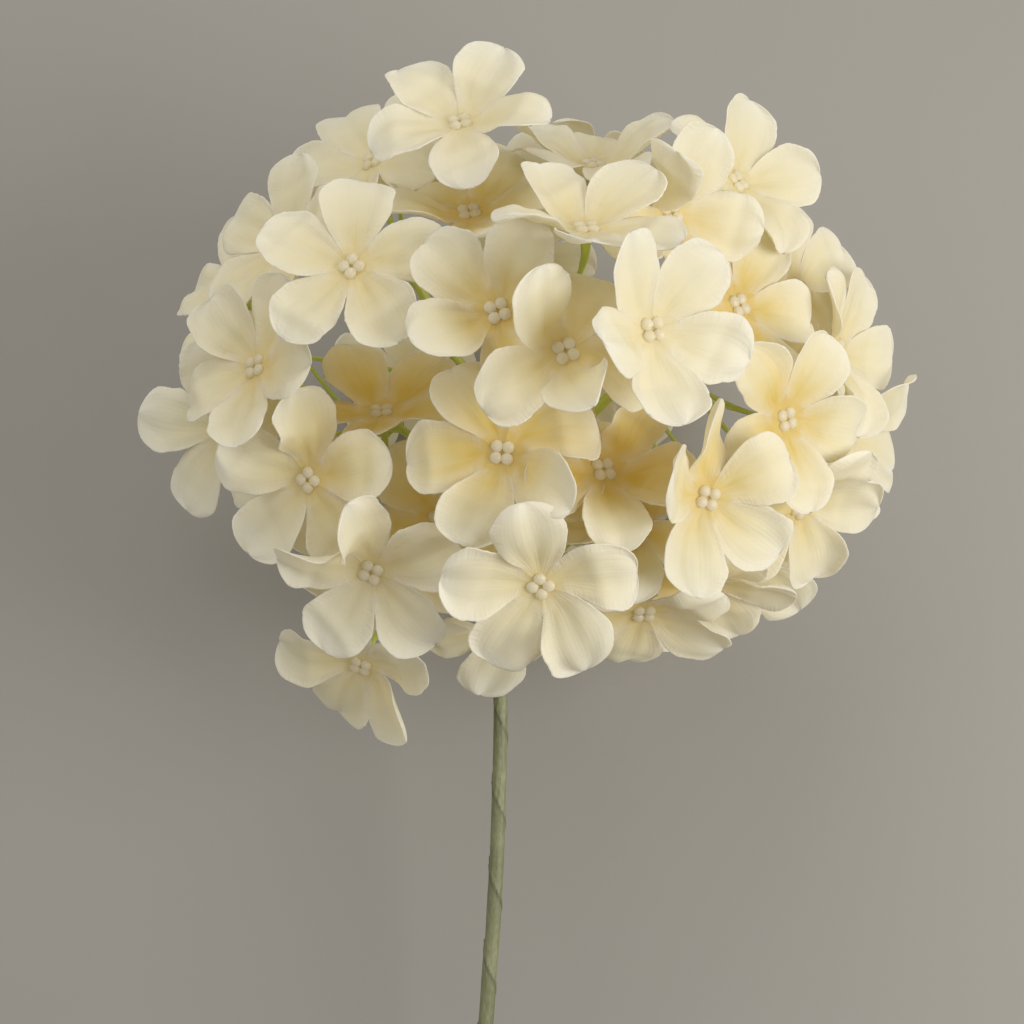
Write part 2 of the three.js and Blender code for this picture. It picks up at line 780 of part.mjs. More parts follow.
// A pedicel takes the bulge that leaves it clearest of the other blooms and of the stem
function settlePedicel(bloom, obstacles) {
  let best = Infinity;
  for (const bulge of bulges) {
    const curve = pedicelCurve(bloom, bulge);
    const points = curveSamples(curve).slice(0, -stalkSkip);
    const cost = crowding(points, obstacles) + bulgeCost * (bulge[0] ** 2 + bulge[1] ** 2);
    if (cost < best) {
      best = cost;
      bloom.pedicel = curve;
    }
  }
  bloom.middlePoints = middleSamples(bloom);
}

// Each pedicel and each petal in turn takes the bend that leaves it clearest of the other blooms and
// of the stem, the deepest blooms first. The resting blooms stay as they are, and petals of the best
// side are stiffer than the others.
function settlePetals() {
  const stem = stemSamples();
  for (const bloom of blooms) {
    placeBloom(bloom);
    settlePedicel(bloom, []);
  }
  const deepestFirst = blooms.filter((b) => !b.resting).sort((a, b) => a.at[2] - b.at[2]);
  for (let sweep = 0; sweep < bendSweeps; sweep += 1) {
    for (const bloom of deepestFirst) {
      const others = blooms.filter((b) => b !== bloom && b.middle.distanceTo(bloom.middle) < reach);
      const crowd = others.flatMap((b) => [...b.middlePoints, ...b.petalPoints.flat()]);
      settleDepth(bloom, [...crowd, ...stem].filter((p) => p.distanceTo(bloom.middle) < reach));
      settlePedicel(bloom, others.flatMap((b) => [...b.hubPoints, ...b.petalPoints.flat()]));
      const stiffness = bendCost * firmness(bloom);
      bloom.lift.forEach((lift, index) => {
        const center = bloom.petalPoints[index][petalCenter];
        const beside = [index + 1, index + petalCount - 1].map((i) => bloom.petalPoints[i % petalCount]);
        const own = beside.flatMap((points) => points.slice(besideFrom));
        const near = [...crowd, ...stem, ...own].filter((p) => p.distanceTo(center) < nearRadius);
        const placed = bloom.sway?.[index] ?? 0;
        let best = Infinity;
        for (const [bend, sway] of bendsAndSways) {
          const tried = THREE.MathUtils.clamp(lift + bend, lowestLift, highestLift);
          const pose = { ...bloom.poses[index], lift: tried, sway: placed + sway };
          const points = petalSamples(bloom, index, pose);
          const cost = crowding(points, near) + stiffness * ((tried - lift) ** 2 + sway ** 2);
          if (cost < best) {
            best = cost;
            bloom.poses[index] = pose;
            bloom.petalPoints[index] = points;
          }
        }
      });
    }
  }
}

// How much a body runs into its neighbours
function clash(body, neighbours) {
  let total = 0;
  for (const other of neighbours) {
    const common = body.intersect(other);
    const volume = common.volume();
    common.delete();
    total += volume > 0 ? volume + touchCost : 0;
  }
  return total;
}

// How many pairs of a geometry's triangles cross, those that share a corner left out
function selfCrossings(geometry) {
  const positions = geometry.getAttribute('position');
  const index = geometry.getIndex().array;
  const points = Array.from({ length: positions.count }, (unused, i) => (
    new THREE.Vector3().fromBufferAttribute(positions, i)));
  const triangles = [];
  for (let i = 0; i < index.length; i += 3) {
    const corners = [points[index[i]], points[index[i + 1]], points[index[i + 2]]];
    triangles.push({ corners, box: new THREE.Box3().setFromPoints(corners) });
  }
  let count = 0;
  for (let i = 0; i < triangles.length; i += 1) {
    const a = triangles[i];
    for (let j = i + 1; j < triangles.length; j += 1) {
      const b = triangles[j];
      if (a.box.intersectsBox(b.box) && !a.corners.some((corner) => b.corners.includes(corner))) {
        count += edgesPierce(a.corners, b.corners) || edgesPierce(b.corners, a.corners) ? 1 : 0;
      }
    }
  }
  return count;
}

const ray = new THREE.Ray();
const hit = new THREE.Vector3();

function edgesPierce(from, other) {
  for (let i = 0; i < 3; i += 1) {
    const end = from[(i + 1) % 3];
    ray.origin.copy(from[i]);
    ray.direction.subVectors(end, from[i]).normalize();
    if (ray.intersectTriangle(...other, false, hit)
      && hit.distanceToSquared(from[i]) < end.distanceToSquared(from[i])) {
      return true;
    }
  }
  return false;
}

// The sheet with its free gap round it
function roomySheet(bloom) {
  return bloomSheet(bloom, fabricThickness + freeGap).applyMatrix4(bloom.matrix);
}

// The obstacles whose boxes reach a body's own
function closeTo(body, obstacles) {
  const own = body.boundingBox();
  return obstacles.filter((obstacle) => {
    const other = obstacle.boundingBox();
    return [0, 1, 2].every((axis) => own.min[axis] < other.max[axis]
      && other.min[axis] < own.max[axis]);
  });
}

// A pedicel that still runs into a sheet takes a wider bulge
function untanglePedicels(sheets) {
  for (const bloom of blooms) {
    const others = [...sheets].filter(([b]) => b !== bloom).map(([, sheet]) => sheet);
    const currentClash = () => {
      const solid = toSolid(pedicelBody(bloom));
      const found = clash(solid, closeTo(solid, others));
      solid.delete();
      return found;
    };
    let best = currentClash();
    let chosen = bloom.pedicel;
    for (const bulge of best > 0 ? wideBulges : []) {
      bloom.pedicel = pedicelCurve(bloom, bulge);
      const found = currentClash();
      if (found < best) {
        best = found;
        chosen = bloom.pedicel;
      }
    }
    bloom.pedicel = chosen;
  }
}

// The last touches: blooms whose sheets still run into something bend one petal after the other,
// each as little as it takes
function untangle() {
  const sheets = new Map(blooms.map((bloom) => [bloom, toSolid(roomySheet(bloom))]));
  const stem = toSolid(stemOutside());
  for (let sweep = 0; sweep < clashSweeps; sweep += 1) {
    untanglePedicels(sheets);
    const sprays = forks.map((fork, index) => spraySolid(fork, index));
    for (const bloom of blooms.filter((b) => !b.resting)) {
      const others = [...sheets].filter(([b]) => b !== bloom).map(([, sheet]) => sheet);
      const around = [...others, ...sprays, stem];
      let best = clash(sheets.get(bloom), closeTo(sheets.get(bloom), around));
      best += crossingCost * selfCrossings(roomySheet(bloom));
      for (let index = 0; index < petalCount && best > 0; index += 1) {
        const start = bloom.poses[index];
        for (const [bend, sway] of bendsAndSways) {
          const lift = THREE.MathUtils.clamp(start.lift + bend, lowestLift, highestLift);
          const poses = bloom.poses.with(index, { ...start, lift, sway: start.sway + sway });
          const geometry = roomySheet({ ...bloom, poses });
          const sheet = toSolid(geometry);
          let found = clash(sheet, closeTo(sheet, around));
          found += found < best ? crossingCost * selfCrossings(geometry) : 0;
          if (found < best) {
            best = found;
            bloom.poses = poses;
            sheets.get(bloom).delete();
            sheets.set(bloom, sheet);
          } else {
            sheet.delete();
          }
          if (best === 0) {
            break;
          }
        }
      }
    }
  }
}

const blooms = [
  ...crownBlooms,
  ...middleBlooms,
  ...leftBlooms,
  ...rightBlooms,
  ...lowerBlooms,
  ...restingBlooms.map(seatOnFloor),
  ...makeBackBlooms(),
];
blooms.forEach((bloom, index) => {
  bloom.name = `bloom_${String(index + 1).padStart(2, '0')}`;
  bloom.fork = forkBehind(bloom);
  bloom.poses = startPoses(bloom);
  bloom.sink = 0;
});
settlePetals();
untangle();

const flower = new THREE.Group();
flower.add(makeStem(), makeWire(), ...forks.map(makeSpray), ...blooms.map(makeBloom));
flower.rotation.x = radians(layAngle);

// The origin is under the middle of the whole part, on the surface it lies on
const model = new THREE.Group();
model.add(flower);
model.updateMatrixWorld(true);
const box = new THREE.Box3().setFromObject(model, true);
const center = box.getCenter(new THREE.Vector3());
flower.position.set(-center.x, -center.y, -box.min.z);

export default model;
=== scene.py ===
# Artificial hydrangea stem, laid on a pale floor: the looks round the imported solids.
# Lengths are in millimetres in here, and become metres when a mesh is made.
import math
import bmesh
import bpy
import numpy as np
from mathutils import Euler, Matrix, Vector


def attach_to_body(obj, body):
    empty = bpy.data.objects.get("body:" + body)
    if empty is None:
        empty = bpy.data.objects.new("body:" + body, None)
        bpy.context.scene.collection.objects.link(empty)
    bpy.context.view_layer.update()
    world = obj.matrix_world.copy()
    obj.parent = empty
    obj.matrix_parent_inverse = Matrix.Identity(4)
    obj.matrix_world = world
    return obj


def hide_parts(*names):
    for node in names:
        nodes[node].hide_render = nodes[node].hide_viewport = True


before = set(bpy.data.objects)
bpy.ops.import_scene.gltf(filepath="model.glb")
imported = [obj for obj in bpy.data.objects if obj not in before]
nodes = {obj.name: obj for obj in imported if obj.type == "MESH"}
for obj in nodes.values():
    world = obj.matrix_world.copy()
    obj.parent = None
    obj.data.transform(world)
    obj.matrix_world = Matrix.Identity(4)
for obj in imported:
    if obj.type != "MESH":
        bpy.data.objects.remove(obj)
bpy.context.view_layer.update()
mm = 0.001
print("frame loaded:", len(nodes), "nodes")


# Where the flower lies

layAngle = math.radians(12)      # the flower is pitched back by this much about x
wireTop = Vector((-2, 2, 0))     # the core wire's upper end, in the flower's upright frame
wireCorners = 6                  # points in each ring of the wire's solid


def nodePoints(name):
    found = np.array([v.co for v in nodes[name].data.vertices], float) / mm
    return np.unique(np.round(found, 3), axis=0)


def flowerTurn():
    return Euler((layAngle, 0, 0)).to_matrix()


def findFlowerOrigin():
    # the wire's top ring is the points that lie furthest up the stem
    turn = flowerTurn()
    along = np.array(turn @ Vector((0, 1, 0)))
    points = nodePoints("stem_wire")
    top = points[np.argsort(points @ along)[-wireCorners:]]
    return Vector(top.mean(axis=0)) - turn @ wireTop


flowerOrigin = findFlowerOrigin()


def fromFlower(point):
    # a point of the upright flower, in metres where it lies
    return (flowerTurn() @ Vector(point) + flowerOrigin) * mm


# Camera, light and floor

cameraLook = {
    "place": (0.48, -30.48, 480),    # in the upright flower's frame, straight in front of the head
    "halfWidth": 122.88,             # half of what is seen, at the head's middle
    "sensor": 36,
    "nearest": 10,
    "lightsAim": (0, 0, 20),
    "lights": [
        # name, place in the upright flower's frame, size, power, colour
        ("keyLight", (400, -40, 350), 380, 2.3, (1.0, 0.98, 0.95)),
        ("fillLight", (-440, 240, 430), 600, 1.0, (0.98, 0.985, 0.99)),
        ("topLight", (-40, 500, 290), 420, 1.05, (1.0, 0.98, 0.95)),
    ],
    "sky": (0.92, 0.90, 0.87),
    "skyStrength": 0.38,
    "floorColour": (0.25, 0.235, 0.205),
    "floorRoughness": 0.9,
    "floorHalf": 8000,
    "filmGamma": 1.2,                # soft contrast, as in a hazy room
}


def makeCamera():
    data = bpy.data.cameras.new("camera")
    data.sensor_width = cameraLook["sensor"]
    data.lens = cameraLook["sensor"] / 2 * cameraLook["place"][2] / cameraLook["halfWidth"]
    data.clip_start = cameraLook["nearest"] * mm
    camera = bpy.data.objects.new("camera", data)
    camera.location = fromFlower(cameraLook["place"])
    camera.rotation_euler = (layAngle, 0, 0)
    bpy.context.scene.collection.objects.link(camera)
    bpy.context.scene.camera = camera


def makeLights():
    aim = fromFlower(cameraLook["lightsAim"])
    for name, place, size, power, colour in cameraLook["lights"]:
        data = bpy.data.lights.new(name, "AREA")
        data.shape = "DISK"
        data.size = size * mm
        data.energy = power
        data.color = colour
        lamp = bpy.data.objects.new(name, data)
        lamp.location = fromFlower(place)
        lamp.rotation_euler = (aim - lamp.location).to_track_quat("-Z", "Y").to_euler()
        bpy.context.scene.collection.objects.link(lamp)
    world = bpy.data.worlds.new("studio")
    world.use_nodes = True
    background = world.node_tree.nodes["Background"]
    background.inputs["Color"].default_value = (*cameraLook["sky"], 1)
    background.inputs["Strength"].default_value = cameraLook["skyStrength"]
    bpy.context.scene.world = world
    bpy.context.scene.view_settings.view_transform = "Standard"
    bpy.context.scene.view_settings.gamma = cameraLook["filmGamma"]


def makeFloor():
    half = cameraLook["floorHalf"] * mm
    mesh = bpy.data.meshes.new("floor")
    corners = [(-half, -half, 0), (half, -half, 0), (half, half, 0), (-half, half, 0)]
    mesh.from_pydata(corners, [], [(0, 1, 2, 3)])
    floor = bpy.data.objects.new("floor", mesh)
    bpy.context.scene.collection.objects.link(floor)
    material, tree, shader = newMaterial("paleFloor")
    shader.inputs["Base Color"].default_value = (*cameraLook["floorColour"], 1)
    shader.inputs["Roughness"].default_value = cameraLook["floorRoughness"]
    mesh.materials.append(material)


# Small helpers for node materials and meshes

def newMaterial(name):
    material = bpy.data.materials.new(name)
    material.use_nodes = True
    tree = material.node_tree
    return material, tree, tree.nodes["Principled BSDF"]


def addNode(tree, kind, settings=None, **inputs):
    # settings are the node's own options; inputs are values or sockets, by name with _ for a space, or by
    # number after a _
    node = tree.nodes.new(kind)
    for key, value in (settings or {}).items():
        setattr(node, key, value)
    for key, value in inputs.items():
        socket = node.inputs[int(key[1:])] if key[0] == "_" else node.inputs[key.replace("_", " ")]
        if isinstance(value, bpy.types.NodeSocket):
            tree.links.new(value, socket)
        else:
            socket.default_value = value
    return node


def mathNode(tree, operation, first, second=0.0, third=0.0):
    node = addNode(tree, "ShaderNodeMath", {"operation": operation}, _0=first, _1=second, _2=third)
    return node.outputs[0]


def colourRamp(tree, factor, stops, interpolation="LINEAR"):
    node = addNode(tree, "ShaderNodeValToRGB", None, Fac=factor)
    ramp = node.color_ramp
    ramp.interpolation = interpolation
    while len(ramp.elements) < len(stops):
        ramp.elements.new(0.5)
    for element, (position, colour) in zip(ramp.elements, stops):
        element.position = position
        element.color = (*colour, 1)
    return node.outputs["Color"]


def mixColour(tree, factor, first, second, blend="MIX"):
    # this node has sockets for every kind of value: 6 and 7 are its colours, and 2 the mixed one
    node = tree.nodes.new("ShaderNodeMix")
    node.data_type = "RGBA"
    node.blend_type = blend
    for socket, value in ((node.inputs[0], factor), (node.inputs[6], first), (node.inputs[7], second)):
        if isinstance(value, bpy.types.NodeSocket):
            tree.links.new(value, socket)
        elif socket.type == "RGBA":
            socket.default_value = (*value, 1)
        else:
            socket.default_value = value
    return node.outputs[2]


def objectPlace(tree):
    return addNode(tree, "ShaderNodeTexCoord").outputs["Object"]


def readAttribute(tree, name, output="Fac"):
    return addNode(tree, "ShaderNodeAttribute", {"attribute_name": name}).outputs[output]


def noise(tree, vector, scale, detail, roughness=0.5):
    # the scale counts per metre where the vector is an object's place
    return addNode(tree, "ShaderNodeTexNoise", None, Vector=vector, Scale=scale, Detail=detail,
                   Roughness=roughness).outputs["Fac"]


def stretched(tree, vector, scale):
    return addNode(tree, "ShaderNodeVectorMath", {"operation": "MULTIPLY"}, _0=vector, _1=scale).outputs[0]


def nearEdge(tree, fromEdge, width):
    # one at a cut edge, and nothing where it is a width away
    node = addNode(tree, "ShaderNodeMapRange", None, Value=fromEdge, From_Min=width, From_Max=0.0)
    return node.outputs["Result"]


def addBump(tree, shader, height, strength, depth):
    bump = addNode(tree, "ShaderNodeBump", None, Strength=strength, Distance=depth * mm, Height=height)
    tree.links.new(bump.outputs["Normal"], shader.inputs["Normal"])
    return bump.outputs["Normal"]


def letLightThrough(tree, shader, share, colour):
    glow = addNode(tree, "ShaderNodeBsdfTranslucent", None, Color=colour)
    mixed = addNode(tree, "ShaderNodeMixShader", None, _0=share, _1=shader.outputs[0], _2=glow.outputs[0])
    tree.links.new(mixed.outputs[0], tree.nodes["Material Output"].inputs["Surface"])
    return glow


def meshPiece(name, points, faces, material):
    mesh = bpy.data.meshes.new(name)
    mesh.from_pydata((np.asarray(points) * mm).tolist(), [], [[int(i) for i in face] for face in faces])
    mesh.materials.append(material)
    mesh.polygons.foreach_set("use_smooth", [True] * len(mesh.polygons))
    piece = bpy.data.objects.new(name, mesh)
    bpy.context.scene.collection.objects.link(piece)
    return piece


def attach(piece, slot, *replaced):
    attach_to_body(piece, "root")
    if replaced:
        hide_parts(*replaced)


# Petals

# The die-cut bloom, as in the solids; with other values it no longer fits them
bloomCut = {
    "petals": 5,
    "length": 21.5,
    "halfWidth": 7.5,
    "widestAt": 0.65,
    "slitRadius": 6,
    "flatRadius": 1.5,
    "hingeRadius": 7.5,
    "curl": -18,
    "cup": 0.16,
    "uprightFrom": 25,
    "uprightSpan": 35,
    "flatTwist": 6,
    "uprightTwist": 16,
    "tipSharpness": 2.2,
    "rollFrom": 0.2,
    "rollSpan": 0.4,
    "halfThickness": 0.35,
    "beadSpread": 1.5,
    "beadHeight": 2.2,
    "beadDip": 1.2,
    "beads": 4,
}

# How a bloom is read from its solid; angles are in degrees
bloomFit = {
    "close": 0.01,                      # how exactly the beads' peaks are found
    "rimRadius": (1.7, 2.35),           # where the solid has points under the first petal's bead
    "rimHeight": 1.4,
    "rimAngle": 2.5,
    "rows": (0.5, 0.75, 0.92, 1.0),     # where along a petal it is compared
    "lifts": (-36, 94, 3),              # from, to and step of the first search
    "leans": (-48, 49, 3),
    "finer": ((3, 0.5), (0.5, 0.1)),    # reach and step of the searches after it
    "rolls": (-80, 80.5, 1),
}

petalLook = {
    "seed": 1000,            # each bloom adds its own number
    "hubRows": 5,
    "bladeRows": 31,
    "columns": 19,
    "tipCrowding": 1.9,      # rows lie closer together towards the tip
    "edgeCrowding": 1.45,    # and columns towards the long edges
    "joinFade": 1.6,         # rows over which a petal gives way to its neighbour, past the slits
    "thickness": 0.26,
    "wavesFrom": 0.35,       # how far along a petal its waves start
    "liveliness": (0.5, 1.35),
    "ruffle": 1.2,           # soft waves towards the tip
    "edgeRoll": 2.6,         # how far a long edge may roll up or down
    "groove": 0.4,           # a shallow channel along the midrib
    "grooveWidth": 0.16,
    "crease": 0.22,          # folds that fan out from the middle
    "dent": 0.8,             # a soft bend across the blade
    "dentAt": (0.5, 0.75),
    "dentSlant": 0.15,
    "dentWidth": 0.09,
    "tipCurl": -10,          # degrees of curl that the tip has beyond the solid's
    "curlSpread": 34,        # and how far that differs from petal to petal
    "fuller": 0.04,          # how much wider the cloth is than the thick solid
    "widthSpread": 0.05,
    "lopsided": 0.09,        # one half of a petal may be wider than the other
    "scallop": 0.55,         # slow waves in the cut edge
    "fray": 0.06,            # unevenness of the cut edge
    "colours": [
        # from the painted golden shade deep in the head, over a petal's middle, to its ivory tip
        (0.0, (0.80, 0.57, 0.10)),
        (0.15, (0.84, 0.66, 0.21)),
        (0.30, (0.86, 0.725, 0.34)),
        (0.43, (0.88, 0.785, 0.46)),
        (0.60, (0.89, 0.83, 0.57)),
        (0.80, (0.90, 0.86, 0.66)),
        (1.0, (0.91, 0.89, 0.76)),
    ],
    "middleColour": 0.24,    # where a petal's middle is in these colours
    "towardsTip": 0.74,      # how far the tip is from there
    "streaks": 0.22,
    "streakScale": (1.2, 5.0, 20.0),     # along the petal, across it, and from petal to petal
    "tones": 0.22,           # how much more golden a petal may be
    "bloomTone": 0.65,       # the share of this that a whole bloom has in common
    "deeper": 0.48,          # painted golden shade: how much more golden it is deep in the head, where light comes only through other petals
    "deepAt": (0.55, 0.84),  # shares of the head's half size
    # the pale colour of the cut, also used for the painted highlight along the border
    "edgeColour": (0.95, 0.935, 0.875),
    "paintedRimHighlight": (4.0, 0.42),   # width and strength of the painted highlight along the border, where curled edges catch the light
    "cutLine": (0.45, 0.3),  # and of the pale cut itself
    "roughness": 0.6,
    "sheen": 0.3,
    "sheenRoughness": 0.4,
    "specular": 0.3,
    "veins": 0.55,
    "veinScale": (1.6, 10.0, 20.0),
    "weave": 0.15,
    "weaveScale": 3200.0,
    "puckers": 1.3,
    "puckerScale": (34.0, 2.5, 20.0),
    "puckerWidth": 3.2,
    "bump": (0.6, 0.3),      # strength and depth
    "glow": 0.45,            # the share of light that passes through the cloth
    "glowColour": (0.97, 0.87, 0.55),
    "glowTint": 0.55,
}

petalStep = 2 * math.pi / bloomCut["petals"]
slitShare = bloomCut["slitRadius"] * math.cos(petalStep / 2) / bloomCut["length"]
slitHalf = bloomCut["slitRadius"] * math.sin(petalStep / 2)


def arcStep(length, start, end):
    # along an arc whose heading turns evenly from start to end; a straight one counts as hardly bent
    change = np.where(np.abs(end - start) < 1e-6, 1e-6, end - start)
    out = length * (np.sin(start + change) - np.sin(start)) / change
    up = length * (np.cos(start) - np.cos(start + change)) / change
    return out, up


def midrib(distance, lift, extraCurl=0.0):
    # how far out and up the midrib is at a distance along the petal, and its slope there
    cut = bloomCut
    hinge = cut["hingeRadius"] - cut["flatRadius"]
    hingeShare = np.clip((distance - cut["flatRadius"]) / hinge, 0, 1)
    hingeOut, hingeUp = arcStep(hingeShare * hinge, 0, lift * hingeShare)
    blade = np.maximum(distance - cut["hingeRadius"], 0)
    share = blade / (cut["length"] - cut["hingeRadius"])
    slope = lift + math.radians(cut["curl"]) * share + extraCurl * share ** 2
    bladeOut, bladeUp = arcStep(blade, lift, slope)
    flat = np.minimum(distance, cut["flatRadius"])
    past = distance > cut["hingeRadius"]
    out = flat + hingeOut + np.where(past, bladeOut, 0)
    up = hingeUp + np.where(past, bladeUp, 0)
    return out, up, np.where(past, slope, lift * hingeShare)


def halfWidth(share):
    cut = bloomCut
    hub = share * cut["length"] * math.tan(petalStep / 2)
    grown = np.clip((share - slitShare) / (cut["widestAt"] - slitShare), 0, 1)
    body = slitHalf + (cut["halfWidth"] - slitHalf) * np.sin(grown * math.pi / 2)
    past = np.clip((share - cut["widestAt"]) / (1 - cut["widestAt"]), 0, 1)
    sharp = cut["tipSharpness"]
    tip = cut["halfWidth"] * (1 - past ** sharp) ** (1 / sharp)
    return np.where(share < slitShare, hub, np.where(share < cut["widestAt"], body, tip))


def smoothStep(value, low, high):
    t = np.clip((value - low) / (high - low), 0, 1)
    return t * t * (3 - 2 * t)


def petalSurface(angle, pose, share, side, widen=1.0, extraCurl=0.0, proud=0.0):
    # points of a petal's middle surface in the bloom's frame; proud moves them along its normal
    lift, roll, lean = pose
    cut = bloomCut
    out, up, slope = midrib(share * cut["length"], lift, extraCurl)
    half = halfWidth(share) * widen
    upright = np.clip((np.degrees(lift) - cut["uprightFrom"]) / cut["uprightSpan"], 0, 1)
    rolled = roll * smoothStep(share, cut["rollFrom"], cut["rollFrom"] + cut["rollSpan"])
    twist = np.radians((cut["flatTwist"] + cut["uprightTwist"] * upright) * share) + rolled
    across = half * side
    rise = cut["cup"] * half * side * side + proud
    sideways = across * np.cos(twist) - rise * np.sin(twist)
    outwards = across * np.sin(twist) + rise * np.cos(twist)
    radial = out - outwards * np.sin(slope)
    a = angle + lean * np.maximum(share - slitShare, 0) / (1 - slitShare)
    return np.stack([
        radial * np.cos(a) - sideways * np.sin(a),
        radial * np.sin(a) + sideways * np.cos(a),
        up + outwards * np.cos(slope),
    ], axis=-1)


def readBloomPlace(points):
    # a bloom's middle and axes, from its four beads: each peak is equally far from the dip between them
    cut = bloomCut
    close = bloomFit["close"]
    rise = cut["beadHeight"] - cut["beadDip"]
    gaps = np.linalg.norm(points[:, None] - points[None], axis=-1)
    for dip, row in enumerate(gaps):
        around = np.flatnonzero(np.abs(row - math.hypot(cut["beadSpread"], rise)) < close)
        for first in around:
            apart = gaps[first, around]
            beside = np.abs(apart - cut["beadSpread"] * math.sqrt(2)) < close
            across = np.abs(apart - cut["beadSpread"] * 2) < close
            ring = around[beside | across | (around == first)]
            middle = points[ring].mean(axis=0)
            axis = middle - points[dip]
            if len(ring) == cut["beads"] and abs(np.linalg.norm(axis) - rise) < close:
                axis = axis / np.linalg.norm(axis)
                return points[dip] - axis * cut["beadDip"], axis, points[ring] - middle
    raise ValueError("no beads found in a bloom")


def localFrame(points, center, axis, peaks):
    # the first petal's midrib passes under one bead: counted from it, the solid has points at the foot of
    # the beads on every petal's midrib
    fit = bloomFit
    for peak in peaks:
        x = peak / np.linalg.norm(peak)
        axes = np.stack([x, np.cross(axis, x), axis])
        local = (points - center) @ axes.T
        radius = np.hypot(local[:, 0], local[:, 1])
        around = np.degrees(np.arctan2(local[:, 1], local[:, 0]))
        rim = (radius > fit["rimRadius"][0]) & (radius < fit["rimRadius"][1])
        rim &= np.abs(local[:, 2]) < fit["rimHeight"]
        apart = [np.abs((around - math.degrees(petalStep) * k + 180) % 360 - 180)
                 for k in range(bloomCut["petals"])]
        if all(np.any(rim & (gap < fit["rimAngle"])) for gap in apart):
            return axes, local
    raise ValueError("no first petal found in a bloom")


def readPetalPose(local, angle):
    # the lift, roll and lean that put a petal's midrib and edges where the solid has them
    fit = bloomFit
    share = np.reshape(fit["rows"], (1, -1, 1))

    def misfit(lifts, rolls, leans, sides):
        pose = [np.reshape(v, (-1, 1, 1)) for v in (lifts, rolls, leans)]
        points = petalSurface(angle, pose, share, np.reshape(sides, (1, 1, -1)))
        points = points.reshape(len(points), -1, 3)
        gap = np.linalg.norm(points[:, :, None] - local[None, None], axis=-1).min(axis=-1)
        return np.abs(gap - bloomCut["halfThickness"]).mean(axis=-1)

    def search(lifts, leans):
        lift, lean = (g.ravel() for g in np.meshgrid(np.radians(lifts), np.radians(leans)))
        best = misfit(lift, 0, lean, [0]).argmin()
        return math.degrees(lift[best]), math.degrees(lean[best])

    lift, lean = search(np.arange(*fit["lifts"]), np.arange(*fit["leans"]))
    for reach, step in fit["finer"]:
        lift, lean = search(np.arange(lift - reach, lift + reach + step / 2, step),
                            np.arange(lean - reach, lean + reach + step / 2, step))
    lift, lean = math.radians(lift), math.radians(lean)
    rolls = np.radians(np.arange(*fit["rolls"]))
    cost = misfit(lift, rolls, lean, [-1, 1])
    return (lift, rolls[cost.argmin()], lean), cost.min()


def growing(share):
    # what grows towards the tip, and what starts just past the slits
    return smoothStep(share, petalLook["wavesFrom"], 1.0), smoothStep(share, slitShare, slitShare + 0.12)


def petalRelief(share, side, spread, random):
    # how far the cloth of one petal stands off the plain shape
    look = petalLook
    grown, past = growing(share)
    phase = random.uniform(0, 2 * math.pi, 6)
    lively = random.uniform(*look["liveliness"])
    # a broad wave along both edges, one on a slant, and a finer one towards the tip
    proud = look["ruffle"] * lively * grown * spread * (
        0.9 * np.sin(2.2 * side + phase[0]) * np.abs(side)
        + 0.5 * np.sin(4.4 * side + 3 * share + phase[1])
        + 0.3 * np.sin(8.0 * side * share + phase[2]))
    # each long edge rolls up or down by itself
    rolls = random.uniform(-1, 1, 2)
    rolling = np.where(side < 0, rolls[0], rolls[1]) * np.abs(side) ** 3
    rolling *= np.abs(rolling) ** 0.3 * smoothStep(share, 0.3, 0.65)
    proud += look["edgeRoll"] * rolling * past * spread
    groove = np.exp(-(side / look["grooveWidth"]) ** 2)
    proud -= look["groove"] * groove * smoothStep(share, 0.1, 0.3) * (1 - share)
    proud += look["crease"] * np.sin(9 * side + phase[3] + np.sin(5 * share + phase[4])) * past * spread * (
        1 - smoothStep(share, 0.45, 0.9))
    # one bend runs across the blade at a slant
    slant = look["dentSlant"]
    fromDent = share - random.uniform(*look["dentAt"]) - random.uniform(-slant, slant) * side
    proud += look["dent"] * random.uniform(-1, 1) * np.exp(-(fromDent / look["dentWidth"]) ** 2) * spread
    return proud


def petalOutline(share, side, half, spread, random):
    # how much wider the cut blade is, from place to place, than the plain shape
    look = petalLook
    grown, past = growing(share)
    phase = random.uniform(0, 2 * math.pi, 2)
    rim = np.abs(side) ** 3
    waves = np.sin(9 * share + phase[0] + side) + 0.6 * np.sin(21 * share + phase[1] - side)
    uneven = look["scallop"] * waves * rim
    frayed = look["fray"] * np.abs(side) ** 8 * past * random.normal(0, 1, share.shape)
    wider = look["fuller"] + look["widthSpread"] * random.uniform(-1, 1)
    wider = wider + look["lopsided"] * random.uniform(-1, 1) * side
    return 1 + wider * grown + (uneven * grown + frayed) * spread / np.maximum(half, 1)


